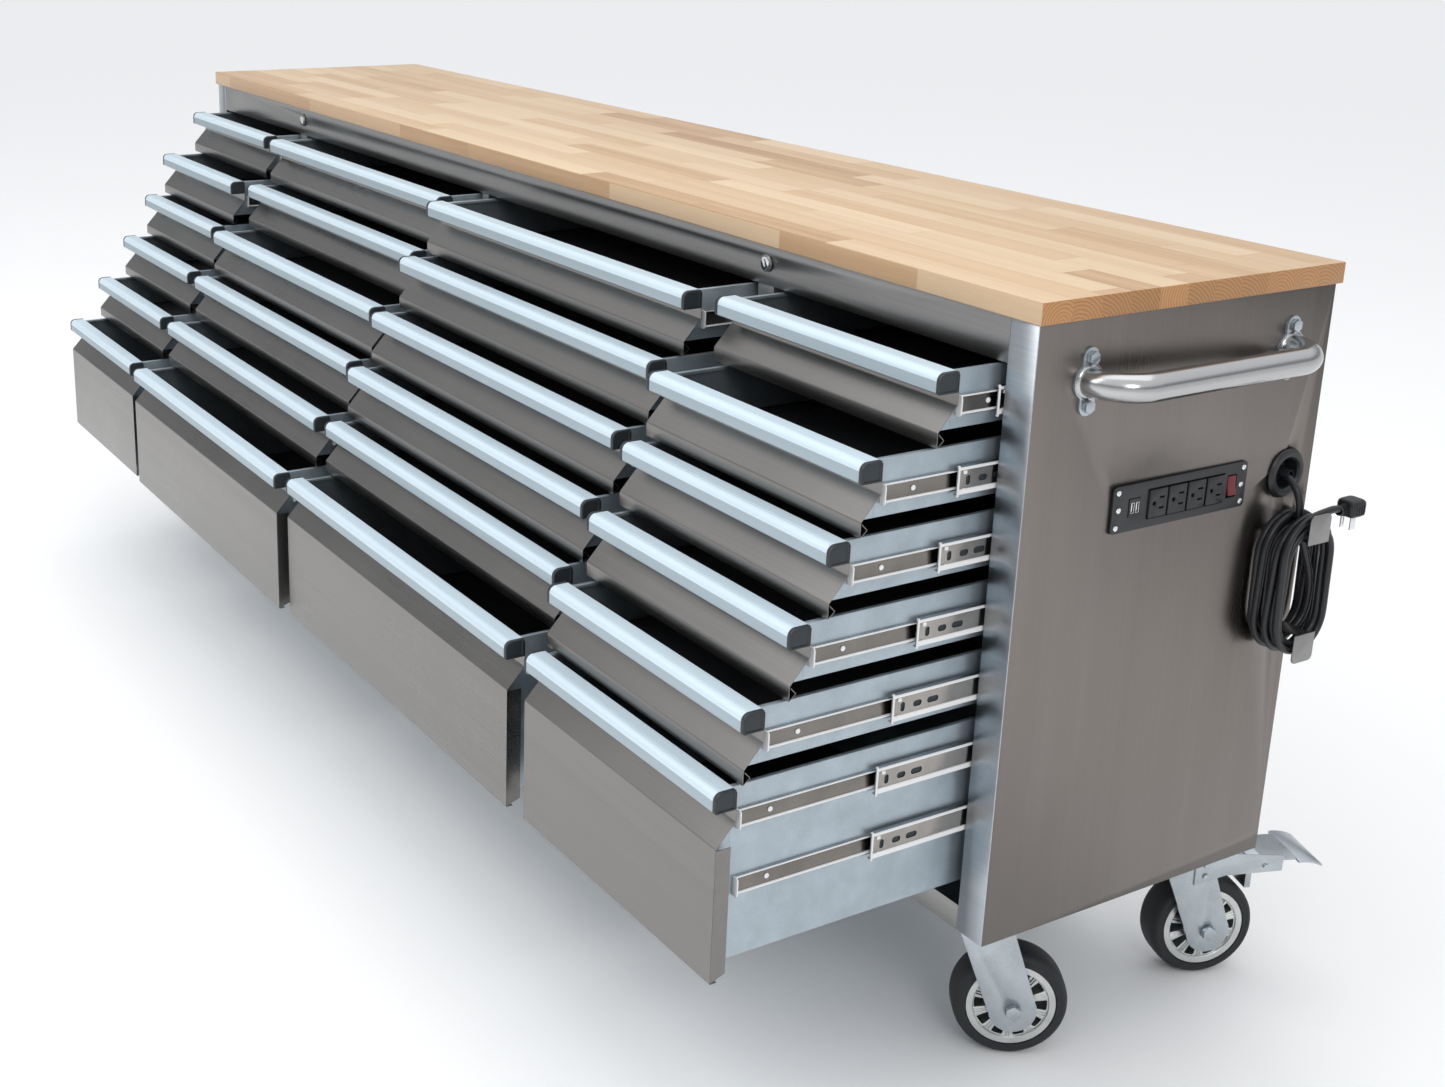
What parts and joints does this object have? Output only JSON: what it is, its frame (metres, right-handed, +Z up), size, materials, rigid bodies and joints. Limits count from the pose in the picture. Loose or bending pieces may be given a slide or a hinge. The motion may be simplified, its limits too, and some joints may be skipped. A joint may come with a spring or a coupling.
{
  "type": "rolling tool chest",
  "caption": "Long stainless tool chest on swivel casters with a butcher-block worktop, four columns of part-opened drawers, a push handle and a power strip with a coiled lead.",
  "frame": {"origin": "on the floor under the middle of the whole chest as it stands, with its drawers part open and without its lead", "axes": "+X along the worktop to the end with the handle, +Y from the drawer fronts to the back, +Z up"},
  "size_m": [2.499, 0.979, 0.97],
  "materials": {
    "maple": "lacquered butcher block",
    "stainless": "brushed",
    "zinc": "bright zinc plated",
    "black_plastic": "moulded",
    "strip_grey": "moulded",
    "switch_red": "moulded",
    "cord_black": "matt",
    "caster_zinc": "zinc plated",
    "tyre": "moulded"
  },
  "bodies": {
    "chest": {"worktop": "maple", "right_side_panel": "stainless", "left_side_panel": "stainless", "back_panel": "stainless", "base_pan": "zinc", "front_rails": "stainless", "divider_walls": "zinc", "cabinet_slides": "zinc", "push_handle": "stainless", "handle_fasteners": "caster_zinc", "power_strip": "strip_grey", "power_outlets": "black_plastic", "cord_grommet": "black_plastic", "cord_hooks": "stainless", "power_cord": "cord_black", "cord_coil": "cord_black", "plug": "black_plastic", "caster_plates": "caster_zinc"},
    "drawer_1_1": {"drawer_1_1": "zinc"},
    "drawer_1_2": {"drawer_1_2": "zinc"},
    "drawer_1_3": {"drawer_1_3": "zinc"},
    "drawer_1_4": {"drawer_1_4": "zinc"},
    "drawer_1_5": {"drawer_1_5": "zinc"},
    "drawer_1_6": {"drawer_1_6": "zinc"},
    "drawer_2_1": {"drawer_2_1": "zinc"},
    "drawer_2_2": {"drawer_2_2": "zinc"},
    "drawer_2_3": {"drawer_2_3": "zinc"},
    "drawer_2_4": {"drawer_2_4": "zinc"},
    "drawer_2_5": {"drawer_2_5": "zinc"},
    "drawer_2_6": {"drawer_2_6": "zinc"},
    "drawer_3_1": {"drawer_3_1": "zinc"},
    "drawer_3_2": {"drawer_3_2": "zinc"},
    "drawer_3_3": {"drawer_3_3": "zinc"},
    "drawer_3_4": {"drawer_3_4": "zinc"},
    "drawer_3_5": {"drawer_3_5": "zinc"},
    "drawer_3_6": {"drawer_3_6": "zinc"},
    "drawer_4_1": {"drawer_4_1": "zinc"},
    "drawer_4_2": {"drawer_4_2": "zinc"},
    "drawer_4_3": {"drawer_4_3": "zinc"},
    "drawer_4_4": {"drawer_4_4": "zinc"},
    "drawer_4_5": {"drawer_4_5": "zinc"},
    "drawer_4_6": {"drawer_4_6": "zinc"},
    "lock_left": {"lock_left": "caster_zinc"},
    "lock_right": {"lock_right": "caster_zinc"},
    "power_switch": {"power_switch": "switch_red"},
    "fork_front_left": {"fork_front_left": "caster_zinc"},
    "wheel_front_left": {"wheel_front_left": "tyre"},
    "fork_front_middle": {"fork_front_middle": "caster_zinc"},
    "wheel_front_middle": {"wheel_front_middle": "tyre"},
    "fork_front_right": {"fork_front_right": "caster_zinc"},
    "wheel_front_right": {"wheel_front_right": "tyre"},
    "fork_rear_left": {"fork_rear_left": "caster_zinc"},
    "wheel_rear_left": {"wheel_rear_left": "tyre"},
    "brake_pedal_left": {"brake_pedal_left": "caster_zinc"},
    "fork_rear_middle": {"fork_rear_middle": "caster_zinc"},
    "wheel_rear_middle": {"wheel_rear_middle": "tyre"},
    "brake_pedal_middle": {"brake_pedal_middle": "caster_zinc"},
    "fork_rear_right": {"fork_rear_right": "caster_zinc"},
    "wheel_rear_right": {"wheel_rear_right": "tyre"},
    "brake_pedal_right": {"brake_pedal_right": "caster_zinc"}
  },
  "joints": [
    {"name": "drawer_1_1_slide", "type": "slide", "parent": "chest", "child": "drawer_1_1", "axis": [0, -1, 0], "range_m": [-0.074, 0.326]},
    {"name": "drawer_1_2_slide", "type": "slide", "parent": "chest", "child": "drawer_1_2", "axis": [0, -1, 0], "range_m": [-0.144, 0.256]},
    {"name": "drawer_1_3_slide", "type": "slide", "parent": "chest", "child": "drawer_1_3", "axis": [0, -1, 0], "range_m": [-0.187, 0.213]},
    {"name": "drawer_1_4_slide", "type": "slide", "parent": "chest", "child": "drawer_1_4", "axis": [0, -1, 0], "range_m": [-0.238, 0.162]},
    {"name": "drawer_1_5_slide", "type": "slide", "parent": "chest", "child": "drawer_1_5", "axis": [0, -1, 0], "range_m": [-0.296, 0.104]},
    {"name": "drawer_1_6_slide", "type": "slide", "parent": "chest", "child": "drawer_1_6", "axis": [0, -1, 0], "range_m": [-0.36, 0.04]},
    {"name": "drawer_2_1_slide", "type": "slide", "parent": "chest", "child": "drawer_2_1", "axis": [0, -1, 0], "range_m": [-0.079, 0.321]},
    {"name": "drawer_2_2_slide", "type": "slide", "parent": "chest", "child": "drawer_2_2", "axis": [0, -1, 0], "range_m": [-0.126, 0.274]},
    {"name": "drawer_2_3_slide", "type": "slide", "parent": "chest", "child": "drawer_2_3", "axis": [0, -1, 0], "range_m": [-0.198, 0.202]},
    {"name": "drawer_2_4_slide", "type": "slide", "parent": "chest", "child": "drawer_2_4", "axis": [0, -1, 0], "range_m": [-0.239, 0.161]},
    {"name": "drawer_2_5_slide", "type": "slide", "parent": "chest", "child": "drawer_2_5", "axis": [0, -1, 0], "range_m": [-0.296, 0.104]},
    {"name": "drawer_2_6_slide", "type": "slide", "parent": "chest", "child": "drawer_2_6", "axis": [0, -1, 0], "range_m": [-0.366, 0.034]},
    {"name": "drawer_3_1_slide", "type": "slide", "parent": "chest", "child": "drawer_3_1", "axis": [0, -1, 0], "range_m": [-0.111, 0.289]},
    {"name": "drawer_3_2_slide", "type": "slide", "parent": "chest", "child": "drawer_3_2", "axis": [0, -1, 0], "range_m": [-0.16, 0.24]},
    {"name": "drawer_3_3_slide", "type": "slide", "parent": "chest", "child": "drawer_3_3", "axis": [0, -1, 0], "range_m": [-0.209, 0.191]},
    {"name": "drawer_3_4_slide", "type": "slide", "parent": "chest", "child": "drawer_3_4", "axis": [0, -1, 0], "range_m": [-0.251, 0.149]},
    {"name": "drawer_3_5_slide", "type": "slide", "parent": "chest", "child": "drawer_3_5", "axis": [0, -1, 0], "range_m": [-0.29, 0.11]},
    {"name": "drawer_3_6_slide", "type": "slide", "parent": "chest", "child": "drawer_3_6", "axis": [0, -1, 0], "range_m": [-0.357, 0.043]},
    {"name": "drawer_4_1_slide", "type": "slide", "parent": "chest", "child": "drawer_4_1", "axis": [0, -1, 0], "range_m": [-0.09, 0.31]},
    {"name": "drawer_4_2_slide", "type": "slide", "parent": "chest", "child": "drawer_4_2", "axis": [0, -1, 0], "range_m": [-0.186, 0.214]},
    {"name": "drawer_4_3_slide", "type": "slide", "parent": "chest", "child": "drawer_4_3", "axis": [0, -1, 0], "range_m": [-0.222, 0.178]},
    {"name": "drawer_4_4_slide", "type": "slide", "parent": "chest", "child": "drawer_4_4", "axis": [0, -1, 0], "range_m": [-0.267, 0.133]},
    {"name": "drawer_4_5_slide", "type": "slide", "parent": "chest", "child": "drawer_4_5", "axis": [0, -1, 0], "range_m": [-0.321, 0.079]},
    {"name": "drawer_4_6_slide", "type": "slide", "parent": "chest", "child": "drawer_4_6", "axis": [0, -1, 0], "range_m": [-0.352, 0.048]},
    {"name": "lock_left_turn", "type": "hinge", "parent": "chest", "child": "lock_left", "pos_m": [-0.7765, -0.12108, 0.923], "axis": [0, -1, 0], "range_deg": [0, 90]},
    {"name": "lock_right_turn", "type": "hinge", "parent": "chest", "child": "lock_right", "pos_m": [0.7155, -0.12108, 0.923], "axis": [0, -1, 0], "range_deg": [0, 90]},
    {"name": "power_switch_rock", "type": "hinge", "parent": "chest", "child": "power_switch", "pos_m": [1.1795, 0.20392, 0.72], "axis": [0, 1, 0], "range_deg": [0, 14]},
    {"name": "swivel_front_left", "type": "hinge", "parent": "chest", "child": "fork_front_left", "pos_m": [-1.1525, -0.03708, 0.202], "axis": [0, 0, 1], "continuous": true},
    {"name": "wheel_front_left_spin", "type": "hinge", "parent": "fork_front_left", "child": "wheel_front_left", "pos_m": [-1.12734, 0.00022, 0.07], "axis": [0.829, -0.5592, 0], "continuous": true},
    {"name": "swivel_front_middle", "type": "hinge", "parent": "chest", "child": "fork_front_middle", "pos_m": [-0.0305, -0.03708, 0.202], "axis": [0, 0, 1], "continuous": true},
    {"name": "wheel_front_middle_spin", "type": "hinge", "parent": "fork_front_middle", "child": "wheel_front_middle", "pos_m": [-0.00534, 0.00022, 0.07], "axis": [0.829, -0.5592, 0], "continuous": true},
    {"name": "swivel_front_right", "type": "hinge", "parent": "chest", "child": "fork_front_right", "pos_m": [1.0915, -0.03708, 0.202], "axis": [0, 0, 1], "continuous": true},
    {"name": "wheel_front_right_spin", "type": "hinge", "parent": "fork_front_right", "child": "wheel_front_right", "pos_m": [1.11666, 0.00022, 0.07], "axis": [0.829, -0.5592, 0], "continuous": true},
    {"name": "swivel_rear_left", "type": "hinge", "parent": "chest", "child": "fork_rear_left", "pos_m": [-1.1525, 0.30092, 0.202], "axis": [0, 0, 1], "continuous": true},
    {"name": "wheel_rear_left_spin", "type": "hinge", "parent": "fork_rear_left", "child": "wheel_rear_left", "pos_m": [-1.13564, 0.34264, 0.07], "axis": [0.9272, -0.3746, 0], "continuous": true},
    {"name": "brake_left_press", "type": "hinge", "parent": "fork_rear_left", "child": "brake_pedal_left", "pos_m": [-1.11054, 0.40476, 0.164], "axis": [-0.9272, 0.3746, 0], "range_deg": [0, 12]},
    {"name": "swivel_rear_middle", "type": "hinge", "parent": "chest", "child": "fork_rear_middle", "pos_m": [-0.0305, 0.30092, 0.202], "axis": [0, 0, 1], "continuous": true},
    {"name": "wheel_rear_middle_spin", "type": "hinge", "parent": "fork_rear_middle", "child": "wheel_rear_middle", "pos_m": [-0.01364, 0.34264, 0.07], "axis": [0.9272, -0.3746, 0], "continuous": true},
    {"name": "brake_middle_press", "type": "hinge", "parent": "fork_rear_middle", "child": "brake_pedal_middle", "pos_m": [0.01146, 0.40476, 0.164], "axis": [-0.9272, 0.3746, 0], "range_deg": [0, 12]},
    {"name": "swivel_rear_right", "type": "hinge", "parent": "chest", "child": "fork_rear_right", "pos_m": [1.0915, 0.30092, 0.202], "axis": [0, 0, 1], "continuous": true},
    {"name": "wheel_rear_right_spin", "type": "hinge", "parent": "fork_rear_right", "child": "wheel_rear_right", "pos_m": [1.10836, 0.34264, 0.07], "axis": [0.9272, -0.3746, 0], "continuous": true},
    {"name": "brake_right_press", "type": "hinge", "parent": "fork_rear_right", "child": "brake_pedal_right", "pos_m": [1.13346, 0.40476, 0.164], "axis": [-0.9272, 0.3746, 0], "range_deg": [0, 12]}
  ]
}
